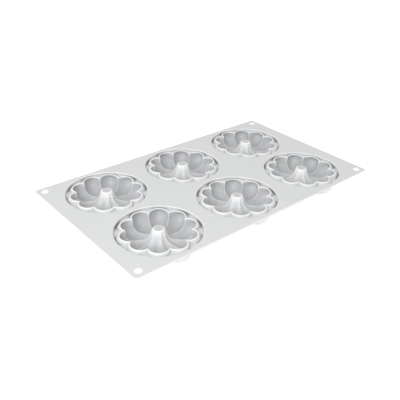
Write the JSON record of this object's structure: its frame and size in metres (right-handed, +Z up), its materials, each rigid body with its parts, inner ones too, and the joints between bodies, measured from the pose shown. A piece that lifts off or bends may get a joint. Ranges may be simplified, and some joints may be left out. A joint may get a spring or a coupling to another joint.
{
  "type": "silicone soap mould",
  "caption": "Flat silicone tray with flower-shaped petalled cavities, each round a fluted centre cone and set in a round recess, for casting soap, wax or resin.",
  "frame": {"origin": "centre of the tray's footprint on the surface that the cups stand on", "axes": "+X along the long side, +Y towards the back row, +Z up out of the cavities"},
  "size_m": [0.3, 0.175, 0.0187],
  "materials": {
    "silicone": "satin moulded silicone"
  },
  "bodies": {
    "root": {"deck_sheet": "silicone", "front_left_recess_ring": "silicone", "front_left_flower_lip": "silicone", "front_left_petal_cup": "silicone", "front_left_centre_cone": "silicone", "front_middle_recess_ring": "silicone", "front_middle_flower_lip": "silicone", "front_middle_petal_cup": "silicone", "front_middle_centre_cone": "silicone", "front_right_recess_ring": "silicone", "front_right_flower_lip": "silicone", "front_right_petal_cup": "silicone", "front_right_centre_cone": "silicone", "back_left_recess_ring": "silicone", "back_left_flower_lip": "silicone", "back_left_petal_cup": "silicone", "back_left_centre_cone": "silicone", "back_middle_recess_ring": "silicone", "back_middle_flower_lip": "silicone", "back_middle_petal_cup": "silicone", "back_middle_centre_cone": "silicone", "back_right_recess_ring": "silicone", "back_right_flower_lip": "silicone", "back_right_petal_cup": "silicone", "back_right_centre_cone": "silicone"}
  },
  "joints": []
}
